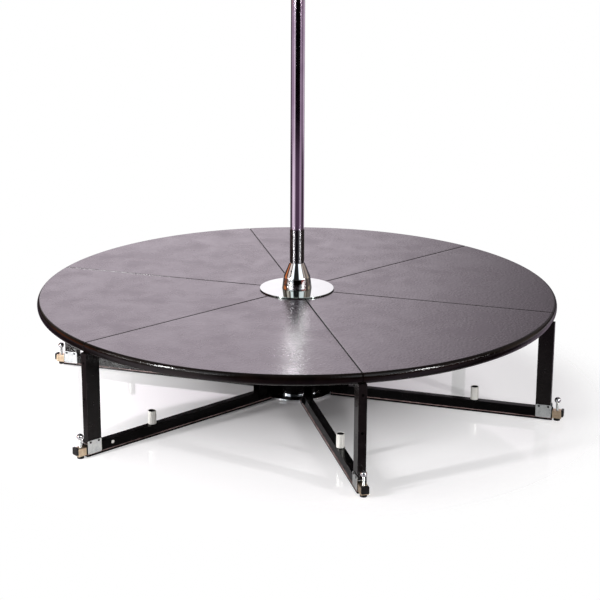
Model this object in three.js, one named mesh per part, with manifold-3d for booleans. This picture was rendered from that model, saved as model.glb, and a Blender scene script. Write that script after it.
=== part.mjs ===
// A dance pole on its round stage: six deck panels on a six-legged frame, with a spinning pole in the middle.
// Lengths are in millimetres, +Z is up, and the origin lies on the floor, on the axis of the pole.
import * as THREE from "three";
import { mergeVertices } from "three/addons/utils/BufferGeometryUtils.js";
import Module from "manifold-3d";

const wasm = await Module();
wasm.setup();

// Fits
const seatGap = 0.3; // between pieces that rest on, or fit into, each other
const spinGap = 0.4; // between the turning collar and the still housing
const seamGap = 2; // between neighbouring deck panels
const overrun = 2; // how far a cutter passes the face that it cuts

// Round work: sides of a full turn
const deckSides = 72;
const drumSides = 30;
const poleSides = 24;
const footSides = 10;
const barSides = 8;
const hexSides = 6;
const cornerSteps = 1; // in a rounded corner

// Stage
const legCount = 6;
const firstLegAngle = -Math.PI / 2;
const legStep = (2 * Math.PI) / legCount;
const deckRadius = 848;
const deckHeight = 355; // top of the deck above the floor

// Deck panels
const panelThickness = 32;
const panelEdgeDepth = 10; // how far the rounded rim stands out past the flat top
const panelEdgeSteps = 4;
const panelTipClearance = 1.5; // from the tips to the boss in the middle
const panelUnderside = deckHeight - panelThickness;

// Floor beams: a hollow section with a lip along each side of its foot
const beamLift = 2; // underside of the beam above the floor
const beamWidth = 25;
const beamHeight = 36.5;
const beamWall = 2;
const beamFloor = 3;
const beamLipProud = 2.5; // each lip, past the beam's side
const beamLipHeight = 7;
const beamTop = beamLift + beamHeight;
const beamRivetDiameter = 11; // of the flat round head in one side of the beam
const beamRivetProud = 1.2;
const beamRivetFromUpright = 40.5; // centre of the head, in from the upright
const beamRivetDrop = 12.3; // and down from the beam's top

// Posts: a round tube welded upright on each floor beam
const postDiameter = 25.5;
const postWall = 2;
const postHeight = 44; // above the beam
const postFromUpright = 198.5; // centre of the post, in from the upright

// Uprights: a flat tube at the outer end of each leg
const uprightDepth = 48; // along the leg
const uprightWidth = beamWidth; // across the leg
const uprightWall = 2;
const uprightCornerRadius = 1.5;
const uprightProud = 2.5; // how far the outer face stands out past the deck
const uprightHoleDiameter = 8;
const uprightHoleDrops = [31, 144]; // hole centres, down from the deck's underside
const uprightOuter = deckRadius + uprightProud;
const uprightInner = uprightOuter - uprightDepth;
const uprightTop = panelUnderside - seatGap;

// Deck bearers: a square tube under each seam, from the hub to the upright
const bearerSize = 25;
const bearerWall = 2;
const bearerTop = uprightTop;
const bearerBottom = bearerTop - bearerSize;

// Saddle brackets: two cheeks joined by a web between beam and upright
const bracketPlate = 2;
const bracketInset = 1.5; // from the upright's inner face to the bracket's inner edge
const bracketOverhang = 3; // from the upright's outer face to the bracket's outer edge
const bracketRise = 10; // how far the cheeks reach up past the web
const bracketCornerRadius = 4;
const bracketScrewDiameter = 5;
const bracketScrewEdge = 10; // screw centres, in from the cheek's ends
const beamTail = 3; // how far the beam runs on past the bracket
const bracketInner = uprightInner + bracketInset;
const bracketOuter = uprightOuter + bracketOverhang;
const bracketWebBottom = beamTop + seatGap;
const bracketWebTop = bracketWebBottom + bracketPlate;
const bracketTop = bracketWebTop + bracketRise;
const uprightBottom = bracketWebTop + seatGap;
const beamEnd = bracketOuter + beamTail;

// End blocks: a threaded block in the end of each beam, with its moulded cap
const blockLength = 28.5;
const blockSideStep = 0.5; // each side of the block, in from the beam's side
const blockHeight = 24;
const blockTongue = 34; // reach of the tongue into the beam
const blockCapLength = 6;
const blockCapInset = 1; // each side of the cap, in from the beam's side
const blockCapLift = 5; // underside of the cap above the block's
const blockCapHeight = 22.5;
const blockCapBevel = 1.2;
const blockCapCornerRadius = 2.5;
const blockBottom = beamLift + beamLipHeight;
const blockStart = beamEnd + seatGap;
const blockEnd = blockStart + blockLength;
const blockTop = blockBottom + blockHeight;

// Levelling feet: pad, screw and ball turned in one piece
const footScrewDiameter = 8;
const footPadDiameter = 21;
const footPadEdge = 1;
const footPadStraight = 5;
const footPadHeight = 9;
const footBallDiameter = 20;
const footTravel = 22; // how far the screw can go down
const footBallClearance = 2; // left between ball and block at the end of the travel
const footBallSteps = 6;
const footFromBlock = 14; // screw axis, out from the block's inner face
const footAxis = blockStart + footFromBlock;
const footBallHeight = blockTop + footTravel + footBallClearance + footBallDiameter / 2;

// Hub
const hubRadius = 80;
const hubWall = 4;
const hubDiscProud = 39; // how far the foot disc stands out past the drum
const hubDiscThickness = 9;
const hubDiscChamfer = 2;
const hubSpigot = 10; // depth of the spigots inside the drum
const hubPlateThickness = 10;
const hubBossRadius = 42;
const hubPlateTop = panelUnderside - seatGap;
const hubPlateBottom = hubPlateTop - hubPlateThickness;
const hubDiscRadius = hubRadius + hubDiscProud;

// Rings of cheeks round the drum, which hold the beams and the bearers
const ringWall = 4;
const cheekPlate = 3;
const clevisBottom = 14;
const clevisTop = 72;
const beamDiscGap = 5; // from the foot disc's edge out to the beam's end
const clevisGrip = 53; // reach of the cheeks past the beam's end
const clevisSlope = 8; // drop of the clevis's outer top corner
const clevisBoltSteps = [15, 40]; // bolt centres, out from the beam's end
const clevisBoltHeight = 21;
const clevisBoltDiameter = 8;
const channelSetback = 5; // of the channels' ends, in from the cheeks' ends
const channelFloor = 3;
const channelBoltStep = 28; // bolt centre, in from the channel's end
const channelBoltDiameter = 6;
const boltHeadHeight = 4;
const boltHeadShare = 0.85; // corner radius of a bolt head, as a share of the bolt's diameter
const bearerStart = hubRadius + seatGap + ringWall + bearerWall;
const beamStart = hubDiscRadius + beamDiscGap;
const clevisReach = beamStart + clevisGrip;
const clevisBoltPlaces = clevisBoltSteps.map((step) => beamStart + step);
const channelReach = clevisReach - channelSetback;
const channelBoltPlace = channelReach - channelBoltStep;

// Disc on the deck
const stageDiscRadius = 122.5;
const stageDiscThickness = 4.2;
const stageDiscBevel = 1.5;
const stageDiscBottom = deckHeight + seatGap;
const stageDiscTop = stageDiscBottom + stageDiscThickness;

// Bearings
const bearingInnerDiameter = 40;
const bearingOuterDiameter = 62;
const bearingWidth = 11;
const bearingRaceWall = 3.5;
const bearingSealRecess = 0.8;

// Base housing: the still lower half of the pole's foot
const housingFootRadius = 49;
const housingWaistRadius = 46.9;
const housingWaistHeight = 17;
const housingTopRadius = 44.2;
const housingHeight = 36.8;
const housingLip = 3;
const housingLipGap = 3; // between the lip and the spindle
const housingBottom = stageDiscTop + seatGap;
const housingTop = housingBottom + housingHeight;
const housingBore = bearingOuterDiameter / 2 + seatGap;

// Spin lock screws, through the housing
const lockAngles = [firstLegAngle + 5 * legStep, firstLegAngle + 2 * legStep];
const lockScrewDiameter = 6;
const lockScrewLength = 20;
const lockTravel = 4;
const lockSocketDiameter = 3.6;
const lockSocketDepth = 3;

// Collar: the turning cone that takes the pole, with its spindle below
const collarRim = 1.8; // thickness of the collar's top edge round the pole
const collarShoulderRadius = 42.8;
const collarShoulderHeight = 5;
const collarHeight = 49.2;
const collarBoreDepth = 32;
const collarBottom = housingTop + spinGap;
const collarTop = collarBottom + collarHeight;
const collarFloor = collarTop - collarBoreDepth;
const spindleRadius = bearingInnerDiameter / 2;
const housingLipRadius = spindleRadius + housingLipGap;
const collarScrewAngle = firstLegAngle - Math.PI / 4;
const collarScrewDiameter = 5;
const collarScrewDrop = 24; // screw axis, down from the collar's top
const collarScrewSunk = 1.5; // below the cone's surface

// Pole
const poleDiameter = 45;
const poleWall = 1.6;
const lowerPoleLength = 1250;
const upperPoleLength = 1190;
const sleeveWall = 0.95;
const sleeveLength = 112;
const jointWall = 6;
const jointLength = 160;
const jointSlit = 3;
const capPlateHeight = 3;
const capCrown = 1;
const capSpigot = 25;
const poleRadius = poleDiameter / 2;
const poleBore = poleRadius - poleWall;
const collarTopRadius = poleRadius + seatGap + collarRim;
const lowerPoleBottom = collarFloor + seatGap;
const lowerPoleTop = lowerPoleBottom + lowerPoleLength;
const upperPoleBottom = lowerPoleTop + seatGap;
const upperPoleTop = upperPoleBottom + upperPoleLength;

// Materials
function finish(color, roughness, metalness) {
  return new THREE.MeshStandardMaterial({ color, roughness, metalness });
}

const finishes = {
  deckVinyl: finish(0x2b282c, 0.55, 0),
  blackPaint: finish(0x0d0c0e, 0.25, 0.3),
  zinc: finish(0xc8ccd2, 0.4, 1),
  brassZinc: finish(0xc9a15e, 0.4, 1),
  chrome: finish(0xdfe1e6, 0.08, 1),
  poleChrome: finish(0xb9a9bb, 0.12, 1),
  blackSleeve: finish(0x070607, 0.12, 0.2),
  steel: finish(0x8b8d92, 0.35, 1),
};

// Solids: joining and cutting closed geometries
function solidFrom(geometry) {
  const bare = geometry.clone();
  bare.deleteAttribute("normal");
  bare.deleteAttribute("uv");
  const merged = mergeVertices(bare);
  return new wasm.Manifold(
    new wasm.Mesh({
      numProp: 3,
      vertProperties: new Float32Array(merged.attributes.position.array),
      triVerts: new Uint32Array(merged.index.array),
    }),
  );
}

function geometryFrom(solid) {
  const mesh = solid.getMesh();
  const geometry = new THREE.BufferGeometry();
  geometry.setAttribute("position", new THREE.BufferAttribute(mesh.vertProperties, mesh.numProp));
  geometry.setIndex(new THREE.BufferAttribute(mesh.triVerts, 1));
  geometry.computeVertexNormals();
  return geometry;
}

function join(first, ...others) {
  const joined = others.reduce((solid, other) => solid.add(solidFrom(other)), solidFrom(first));
  return geometryFrom(joined);
}

function cut(body, ...cutters) {
  const left = cutters.reduce((solid, cutter) => solid.subtract(solidFrom(cutter)), solidFrom(body));
  return geometryFrom(left);
}

function common(first, second) {
  return geometryFrom(solidFrom(first).intersect(solidFrom(second)));
}

// Shapes, in a leg's own frame: X runs out along the leg, Y across it and Z up
const outward = new THREE.Vector3(1, 0, 0);
const across = new THREE.Vector3(0, 1, 0);
const upward = new THREE.Vector3(0, 0, 1);

function box(x, y, z) {
  const geometry = new THREE.BoxGeometry(x[1] - x[0], y[1] - y[0], z[1] - z[0]);
  geometry.translate((x[0] + x[1]) / 2, (y[0] + y[1]) / 2, (z[0] + z[1]) / 2);
  return geometry;
}

function barAcross(radius, y, x, z, sides = barSides) {
  const geometry = new THREE.CylinderGeometry(radius, radius, y[1] - y[0], sides);
  geometry.translate(x, (y[0] + y[1]) / 2, z);
  return geometry;
}

function barOutward(radius, x, z, sides = barSides) {
  const geometry = new THREE.CylinderGeometry(radius, radius, x[1] - x[0], sides);
  geometry.rotateZ(Math.PI / 2);
  geometry.translate((x[0] + x[1]) / 2, 0, z);
  return geometry;
}

function barUpright(radius, z, x = 0, sides = barSides) {
  const geometry = new THREE.CylinderGeometry(radius, radius, z[1] - z[0], sides);
  geometry.rotateX(Math.PI / 2);
  geometry.translate(x, 0, (z[0] + z[1]) / 2);
  return geometry;
}

// Turns a profile of [radius, height] points, listed with the outside going up, about the Z axis.
function revolve(profile, sides) {
  const points = profile.map(([radius, height]) => new THREE.Vector2(radius, height));
  const geometry = new THREE.LatheGeometry(points, sides);
  geometry.rotateX(Math.PI / 2);
  return geometry;
}

function revolveRing(profile, sides) {
  return revolve([...profile, profile[0]], sides);
}

function outline(points) {
  return new THREE.Shape(points.map(([u, v]) => new THREE.Vector2(u, v)));
}

function rectangle(u, v) {
  return outline([
    [u[0], v[0]],
    [u[1], v[0]],
    [u[1], v[1]],
    [u[0], v[1]],
  ]);
}

function roundedRectangle(u, v, radius) {
  const shape = new THREE.Shape();
  shape.moveTo(u[0] + radius, v[0]);
  shape.lineTo(u[1] - radius, v[0]);
  shape.absarc(u[1] - radius, v[0] + radius, radius, -Math.PI / 2, 0);
  shape.lineTo(u[1], v[1] - radius);
  shape.absarc(u[1] - radius, v[1] - radius, radius, 0, Math.PI / 2);
  shape.lineTo(u[0] + radius, v[1]);
  shape.absarc(u[0] + radius, v[1] - radius, radius, Math.PI / 2, Math.PI);
  shape.lineTo(u[0], v[0] + radius);
  shape.absarc(u[0] + radius, v[0] + radius, radius, Math.PI, (3 * Math.PI) / 2);
  return shape;
}

// Runs a section drawn in (across, up) out along the leg.
function runOutward(shape, x, bevel = 0) {
  const geometry = new THREE.ExtrudeGeometry(shape, {
    depth: x[1] - x[0] - 2 * bevel,
    bevelEnabled: bevel > 0,
    bevelThickness: bevel,
    bevelSize: bevel,
    bevelOffset: -bevel,
    bevelSegments: 1,
    curveSegments: cornerSteps,
  });
  geometry.applyMatrix4(new THREE.Matrix4().makeBasis(across, upward, outward));
  geometry.translate(x[0] + bevel, 0, 0);
  return geometry;
}

// Gives a plate drawn in (out, up) its thickness across the leg.
function runAcross(shape, y) {
  const geometry = new THREE.ExtrudeGeometry(shape, {
    depth: y[1] - y[0],
    bevelEnabled: false,
    curveSegments: cornerSteps,
  });
  geometry.applyMatrix4(new THREE.Matrix4().makeBasis(outward, upward, across.clone().negate()));
  geometry.translate(0, y[1], 0);
  return geometry;
}

function runUpward(shape, z) {
  const geometry = new THREE.ExtrudeGeometry(shape, {
    depth: z[1] - z[0],
    bevelEnabled: false,
    curveSegments: cornerSteps,
  });
  geometry.translate(0, 0, z[0]);
  return geometry;
}

function centred(width) {
  return [-width / 2, width / 2];
}

function bothSides(inner, thickness) {
  return [
    [inner, inner + thickness],
    [-inner - thickness, -inner],
  ];
}

// Deck panel: a sixth of a ring with a rounded rim
function deckPanel() {
  const flatRadius = deckRadius - panelEdgeDepth;
  const tipRadius = hubBossRadius + panelTipClearance;
  const profile = [[tipRadius, panelUnderside]];
  for (let step = 0; step <= panelEdgeSteps; step += 1) {
    const angle = -Math.PI / 2 + (Math.PI * step) / panelEdgeSteps;
    const radius = flatRadius + panelEdgeDepth * Math.cos(angle);
    const height = panelUnderside + (panelThickness / 2) * (1 + Math.sin(angle));
    profile.push([radius, height]);
  }
  profile.push([tipRadius, deckHeight]);

  const halfAngle = legStep / 2;
  const apex = seamGap / 2 / Math.sin(halfAngle);
  const reach = 2 * deckRadius;
  const sector = outline([
    [apex, 0],
    [apex + reach * Math.cos(halfAngle), -reach * Math.sin(halfAngle)],
    [apex + reach * Math.cos(halfAngle), reach * Math.sin(halfAngle)],
  ]);
  const wedge = runUpward(sector, [panelUnderside - overrun, deckHeight + overrun]);
  return common(revolveRing(profile, deckSides), wedge);
}

// Floor beam, with the rivet in its side, its bolt holes and the welded post
function floorBeam() {
  const side = beamWidth / 2;
  const lip = side + beamLipProud;
  const lipTop = beamLift + beamLipHeight;
  const section = outline([
    [-lip, beamLift],
    [lip, beamLift],
    [lip, lipTop],
    [side, lipTop],
    [side, beamTop],
    [-side, beamTop],
    [-side, lipTop],
    [-lip, lipTop],
  ]);
  section.holes.push(
    rectangle(centred(beamWidth - 2 * beamWall), [beamLift + beamFloor, beamTop - beamWall]),
  );
  const beam = runOutward(section, [beamStart, beamEnd]);

  const rivet = barAcross(
    beamRivetDiameter / 2,
    [side - beamWall, side + beamRivetProud],
    uprightInner - beamRivetFromUpright,
    beamTop - beamRivetDrop,
    footSides,
  );
  const holeSpan = centred(2 * lip + 2 * overrun);
  const boltHoles = clevisBoltPlaces.map((place) =>
    barAcross(clevisBoltDiameter / 2 + seatGap, holeSpan, place, clevisBoltHeight),
  );

  const postPlace = uprightInner - postFromUpright;
  const postTop = beamTop + postHeight;
  const post = barUpright(postDiameter / 2, [beamTop - beamWall, postTop], postPlace, footSides);
  const bore = [beamTop + postWall, postTop + overrun];
  const postBore = barUpright(postDiameter / 2 - postWall, bore, postPlace, footSides);
  return cut(join(beam, rivet, post), postBore, ...boltHoles);
}

// Upright, closed at its top and open at its foot, with bolt holes in its outer face
function upright() {
  const plan = roundedRectangle([uprightInner, uprightOuter], centred(uprightWidth), uprightCornerRadius);
  const cavity = box(
    [uprightInner + uprightWall, uprightOuter - uprightWall],
    centred(uprightWidth - 2 * uprightWall),
    [uprightBottom - overrun, uprightTop - uprightWall],
  );
  const holes = uprightHoleDrops.map((drop) =>
    barOutward(
      uprightHoleDiameter / 2,
      [uprightOuter - uprightWall - overrun, uprightOuter + overrun],
      panelUnderside - drop,
    ),
  );
  return cut(runUpward(plan, [uprightBottom, uprightTop]), cavity, ...holes);
}

// Deck bearer, with the hole for its hub bolt
function deckBearer() {
  const section = roundedRectangle(centred(bearerSize), [bearerBottom, bearerTop], uprightCornerRadius);
  section.holes.push(
    rectangle(centred(bearerSize - 2 * bearerWall), [bearerBottom + bearerWall, bearerTop - bearerWall]),
  );
  const boltHole = barAcross(
    channelBoltDiameter / 2 + seatGap,
    centred(bearerSize + 2 * overrun),
    channelBoltPlace,
    (bearerBottom + bearerTop) / 2,
  );
  return cut(runOutward(section, [bearerStart, uprightInner - seatGap]), boltHole);
}

// Saddle bracket: cheeks over the beam's sides and the upright's foot, joined by the web between them
function saddleBracket() {
  const cheekBottom = beamLift + beamLipHeight + seatGap;
  const cheek = roundedRectangle(
    [bracketInner, bracketOuter],
    [cheekBottom, bracketTop],
    bracketCornerRadius,
  );
  const cheekInner = beamWidth / 2 + seatGap;
  const [near, far] = bothSides(cheekInner, bracketPlate).map((y) => runAcross(cheek, y));
  const webWidth = 2 * cheekInner + bracketPlate;
  const web = box([bracketInner, bracketOuter], centred(webWidth), [bracketWebBottom, bracketWebTop]);
  const screwSpan = centred(webWidth + 2 * bracketPlate + 2 * overrun);
  const screwHeight = (bracketWebTop + bracketTop) / 2;
  const screwHoles = [bracketInner + bracketScrewEdge, bracketOuter - bracketScrewEdge].map((place) =>
    barAcross(bracketScrewDiameter / 2, screwSpan, place, screwHeight),
  );
  return cut(join(near, far, web), ...screwHoles);
}

// End block: a tongue inside the beam, the threaded block and the moulded cap on its end
function endBlock() {
  const tongueWidth = beamWidth - 2 * beamWall - 2 * seatGap;
  const blockHeights = [blockBottom, blockTop];
  const tongue = box([blockStart - blockTongue, blockStart + overrun], centred(tongueWidth), blockHeights);
  const block = box([blockStart, blockEnd], centred(beamWidth - 2 * blockSideStep), blockHeights);
  const capBottom = blockBottom + blockCapLift;
  const capHeights = [capBottom, capBottom + blockCapHeight];
  const capFace = roundedRectangle(
    centred(beamWidth - 2 * blockCapInset),
    capHeights,
    blockCapCornerRadius,
  );
  const cap = runOutward(capFace, [blockEnd - blockCapBevel, blockEnd + blockCapLength], blockCapBevel);
  const bore = barUpright(
    footScrewDiameter / 2 + seatGap,
    [blockBottom - overrun, blockTop + overrun],
    footAxis,
    footSides,
  );
  return cut(join(tongue, block, cap), bore);
}

// Levelling foot
function levellingFoot() {
  const pad = footPadDiameter / 2;
  const screw = footScrewDiameter / 2;
  const ball = footBallDiameter / 2;
  const profile = [
    [0, 0],
    [pad - footPadEdge, 0],
    [pad, footPadEdge],
    [pad, footPadStraight],
    [screw, footPadHeight],
  ];
  const neckAngle = -Math.acos(screw / ball);
  for (let step = 0; step < footBallSteps; step += 1) {
    const angle = neckAngle + ((Math.PI / 2 - neckAngle) * step) / footBallSteps;
    profile.push([ball * Math.cos(angle), footBallHeight + ball * Math.sin(angle)]);
  }
  profile.push([0, footBallHeight + ball]);
  const foot = revolve(profile, footSides);
  foot.translate(footAxis, 0, 0);
  return foot;
}

// Hub: a foot disc, the drum that stands on it and the plate that closes it
function hubFootDisc() {
  const spigot = hubRadius - hubWall - seatGap;
  return revolve(
    [
      [0, 0],
      [hubDiscRadius, 0],
      [hubDiscRadius, hubDiscThickness - hubDiscChamfer],
      [hubDiscRadius - hubDiscChamfer, hubDiscThickness],
      [spigot, hubDiscThickness],
      [spigot, hubDiscThickness + hubSpigot],
      [0, hubDiscThickness + hubSpigot],
    ],
    drumSides,
  );
}

function hubDrum() {
  const bottom = hubDiscThickness + seatGap;
  const top = hubPlateBottom - seatGap;
  return revolveRing(
    [
      [hubRadius, bottom],
      [hubRadius, top],
      [hubRadius - hubWall, top],
      [hubRadius - hubWall, bottom],
    ],
    drumSides,
  );
}

function hubTopPlate() {
  const spigot = hubRadius - hubWall - seatGap;
  const bossTop = deckHeight;
  return revolve(
    [
      [0, hubPlateBottom - hubSpigot],
      [spigot, hubPlateBottom - hubSpigot],
      [spigot, hubPlateBottom],
      [hubRadius, hubPlateBottom],
      [hubRadius, hubPlateTop],
      [hubBossRadius, hubPlateTop],
      [hubBossRadius, bossTop],
      [0, bossTop],
    ],
    drumSides,
  );
}

function ringRound(z) {
  const inner = hubRadius + seatGap;
  return revolveRing(
    [
      [inner + ringWall, z[0]],
      [inner + ringWall, z[1]],
      [inner, z[1]],
      [inner, z[0]],
    ],
    drumSides,
  );
}

// A bolt through two cheeks and the tube between them, with a hexagon head outside each cheek.
function cheekBolt(diameter, tubeWidth, place, height) {
  const outerFace = tubeWidth / 2 + seatGap + cheekPlate;
  const shank = barAcross(diameter / 2, centred(2 * outerFace), place, height);
  const heads = bothSides(outerFace - cheekPlate / 2, boltHeadHeight + cheekPlate / 2).map((y) =>
    barAcross(diameter * boltHeadShare, y, place, height, hexSides),
  );
  return [shank, ...heads];
}

function roundTheHub(piece) {
  return Array.from({ length: legCount }, (_, leg) => piece.clone().rotateZ(firstLegAngle + leg * legStep));
}

// Clevis ring: six pairs of tall cheeks with the bolts that hold the floor beams
function clevisRing() {
  const cheekStart = hubRadius + seatGap + ringWall / 2;
  const cheek = outline([
    [cheekStart, clevisBottom],
    [clevisReach, clevisBottom],
    [clevisReach, clevisTop - clevisSlope],
    [clevisReach - clevisSlope, clevisTop],
    [cheekStart, clevisTop],
  ]);
  const cheeks = bothSides(beamWidth / 2 + seatGap, cheekPlate).map((y) => runAcross(cheek, y));
  const bolts = clevisBoltPlaces.flatMap((place) =>
    cheekBolt(clevisBoltDiameter, beamWidth, place, clevisBoltHeight),
  );
  const clevis = join(...cheeks, ...bolts);
  return join(ringRound([clevisBottom, clevisTop]), ...roundTheHub(clevis));
}

// Channel ring: six channels, open at the top, that the deck bearers drop into
function channelRing() {
  const channelStart = hubRadius + seatGap + ringWall / 2;
  const channelTop = bearerTop - seatGap;
  const floorTop = bearerBottom - seatGap;
  const floorBottom = floorTop - channelFloor;
  const sideInner = bearerSize / 2 + seatGap;
  const sides = bothSides(sideInner, cheekPlate).map((y) =>
    box([channelStart, channelReach], y, [floorBottom, channelTop]),
  );
  const floorSpan = centred(2 * sideInner + cheekPlate);
  const floor = box([channelStart, channelReach], floorSpan, [floorBottom, floorTop]);
  const boltHeight = (bearerBottom + bearerTop) / 2;
  const bolts = cheekBolt(channelBoltDiameter, bearerSize, channelBoltPlace, boltHeight);
  const channel = join(...sides, floor, ...bolts);
  return join(ringRound([floorBottom, channelTop]), ...roundTheHub(channel));
}

// Foot of the pole
function stageDisc() {
  return revolve(
    [
      [0, stageDiscBottom],
      [stageDiscRadius, stageDiscBottom],
      [stageDiscRadius, stageDiscTop - stageDiscBevel],
      [stageDiscRadius - stageDiscBevel, stageDiscTop],
      [0, stageDiscTop],
    ],
    drumSides,
  );
}

function lockAxisHeight() {
  return housingBottom + (housingHeight - housingLip) / 2;
}

function baseHousing() {
  const shell = revolveRing(
    [
      [housingFootRadius, housingBottom],
      [housingWaistRadius, housingBottom + housingWaistHeight],
      [housingTopRadius, housingTop],
      [housingLipRadius, housingTop],
      [housingLipRadius, housingTop - housingLip],
      [housingBore, housingTop - housingLip],
      [housingBore, housingBottom],
    ],
    drumSides,
  );
  const holes = lockAngles.map((angle) =>
    barOutward(
      lockScrewDiameter / 2 + seatGap,
      [housingBore - overrun, housingFootRadius + overrun],
      lockAxisHeight(),
    ).rotateZ(angle),
  );
  return cut(shell, ...holes);
}

// Sealed ball bearing, with a shallow recess between its races on both faces
function ballBearing(bottom) {
  const inner = bearingInnerDiameter / 2 + seatGap;
  const outer = bearingOuterDiameter / 2;
  const top = bottom + bearingWidth;
  const sealInner = inner + bearingRaceWall;
  const sealOuter = outer - bearingRaceWall;
  return revolveRing(
    [
      [outer, bottom],
      [outer, top],
      [sealOuter, top],
      [sealOuter, top - bearingSealRecess],
      [sealInner, top - bearingSealRecess],
      [sealInner, top],
      [inner, top],
      [inner, bottom],
      [sealInner, bottom],
      [sealInner, bottom + bearingSealRecess],
      [sealOuter, bottom + bearingSealRecess],
      [sealOuter, bottom],
    ],
    poleSides,
  );
}

// Spin lock screw, drawn back so that the pole can spin
function lockScrew() {
  const tip = spindleRadius + seatGap + lockTravel;
  const head = tip + lockScrewLength;
  const screw = barOutward(lockScrewDiameter / 2, [tip, head], lockAxisHeight());
  const socket = barOutward(
    lockSocketDiameter / 2,
    [head - lockSocketDepth, head + overrun],
    lockAxisHeight(),
    hexSides,
  );
  return cut(screw, socket);
}

function collarRadiusAt(height) {
  const shoulder = collarBottom + collarShoulderHeight;
  const share = (height - shoulder) / (collarTop - shoulder);
  return THREE.MathUtils.lerp(collarShoulderRadius, collarTopRadius, share);
}

// Collar, in one piece with the spindle that turns in the bearings
function poleCollar() {
  const poleHole = poleRadius + seatGap;
  const body = revolve(
    [
      [0, housingBottom + seatGap],
      [spindleRadius, housingBottom + seatGap],
      [spindleRadius, collarBottom],
      [housingTopRadius, collarBottom],
      [collarShoulderRadius, collarBottom + collarShoulderHeight],
      [collarTopRadius, collarTop],
      [poleHole, collarTop],
      [poleHole, collarFloor],
      [0, collarFloor],
    ],
    drumSides,
  );
  const screwHole = barOutward(
    collarScrewDiameter / 2 + seatGap,
    [poleHole - overrun, housingTopRadius],
    collarTop - collarScrewDrop,
  ).rotateZ(collarScrewAngle);
  return cut(body, screwHole);
}

function collarScrew() {
  const height = collarTop - collarScrewDrop;
  const tip = poleRadius + seatGap;
  const head = collarRadiusAt(height) - collarScrewSunk;
  const screw = barOutward(collarScrewDiameter / 2, [tip, head], height);
  const socketSpan = [head - lockSocketDepth, head + overrun];
  const socket = barOutward(lockSocketDiameter / 2, socketSpan, height, hexSides);
  return cut(screw, socket);
}

function tube(outer, inner, z, sides) {
  return revolveRing(
    [
      [outer, z[0]],
      [outer, z[1]],
      [inner, z[1]],
      [inner, z[0]],
    ],
    sides,
  );
}

// Sleeve round the foot of the pole
function poleSleeve() {
  const inner = poleRadius + seatGap;
  const bottom = collarTop + seatGap;
  return tube(inner + sleeveWall, inner, [bottom, bottom + sleeveLength], poleSides);
}

// Slit spigot inside both pole sections, where they meet
function poleJoint() {
  const outer = poleBore - seatGap;
  const span = [lowerPoleTop - jointLength / 2, lowerPoleTop + jointLength / 2];
  const slit = box([0, outer + overrun], centred(jointSlit), [span[0] - overrun, span[1] + overrun]);
  return cut(tube(outer, outer - jointWall, span, poleSides), slit);
}

function poleCap() {
  const spigot = poleBore - seatGap;
  const plateBottom = upperPoleTop + seatGap;
  return revolve(
    [
      [0, upperPoleTop - capSpigot],
      [spigot, upperPoleTop - capSpigot],
      [spigot, plateBottom],
      [poleRadius, plateBottom],
      [poleRadius, plateBottom + capPlateHeight - capCrown],
      [poleRadius - capCrown, plateBottom + capPlateHeight],
      [0, plateBottom + capPlateHeight],
    ],
    poleSides,
  );
}

// The assembly
const dancePole = new THREE.Group();
dancePole.name = "dance_pole";

function turnedGroup(angle) {
  const group = new THREE.Group();
  group.rotation.z = angle;
  dancePole.add(group);
  return group;
}

function addPart(parent, name, geometry, material) {
  const mesh = new THREE.Mesh(geometry, material);
  mesh.name = name;
  parent.add(mesh);
}

for (let leg = 0; leg < legCount; leg += 1) {
  const number = leg + 1;
  const legGroup = turnedGroup(firstLegAngle + leg * legStep);
  addPart(legGroup, `floor_beam_${number}`, floorBeam(), finishes.blackPaint);
  addPart(legGroup, `upright_${number}`, upright(), finishes.blackPaint);
  addPart(legGroup, `deck_bearer_${number}`, deckBearer(), finishes.blackPaint);
  addPart(legGroup, `saddle_bracket_${number}`, saddleBracket(), finishes.zinc);
  addPart(legGroup, `end_block_${number}`, endBlock(), finishes.brassZinc);
  addPart(legGroup, `levelling_foot_${number}`, levellingFoot(), finishes.chrome);

  const panelGroup = turnedGroup(firstLegAngle + (leg + 1 / 2) * legStep);
  addPart(panelGroup, `deck_panel_${number}`, deckPanel(), finishes.deckVinyl);
}

addPart(dancePole, "hub_foot_disc", hubFootDisc(), finishes.chrome);
addPart(dancePole, "hub_drum", hubDrum(), finishes.chrome);
addPart(dancePole, "hub_top_plate", hubTopPlate(), finishes.steel);
addPart(dancePole, "hub_clevis_ring", clevisRing(), finishes.blackPaint);
addPart(dancePole, "hub_channel_ring", channelRing(), finishes.blackPaint);
addPart(dancePole, "stage_disc", stageDisc(), finishes.chrome);
addPart(dancePole, "base_housing", baseHousing(), finishes.chrome);
addPart(dancePole, "lower_bearing", ballBearing(housingBottom), finishes.steel);
addPart(
  dancePole,
  "upper_bearing",
  ballBearing(housingTop - housingLip - seatGap - bearingWidth),
  finishes.steel,
);
lockAngles.forEach((angle, index) => {
  addPart(turnedGroup(angle), `spin_lock_screw_${index + 1}`, lockScrew(), finishes.steel);
});
addPart(dancePole, "pole_collar", poleCollar(), finishes.chrome);
addPart(turnedGroup(collarScrewAngle), "collar_screw", collarScrew(), finishes.steel);
addPart(dancePole, "pole_sleeve", poleSleeve(), finishes.blackSleeve);
addPart(
  dancePole,
  "pole_section_lower",
  tube(poleRadius, poleBore, [lowerPoleBottom, lowerPoleTop], poleSides),
  finishes.poleChrome,
);
addPart(
  dancePole,
  "pole_section_upper",
  tube(poleRadius, poleBore, [upperPoleBottom, upperPoleTop], poleSides),
  finishes.poleChrome,
);
addPart(dancePole, "pole_joint", poleJoint(), finishes.steel);
addPart(dancePole, "pole_cap", poleCap(), finishes.chrome);

export default dancePole;
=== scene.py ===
import math
import random
from types import SimpleNamespace

import bmesh
import bpy
from mathutils import Matrix, Vector


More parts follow.
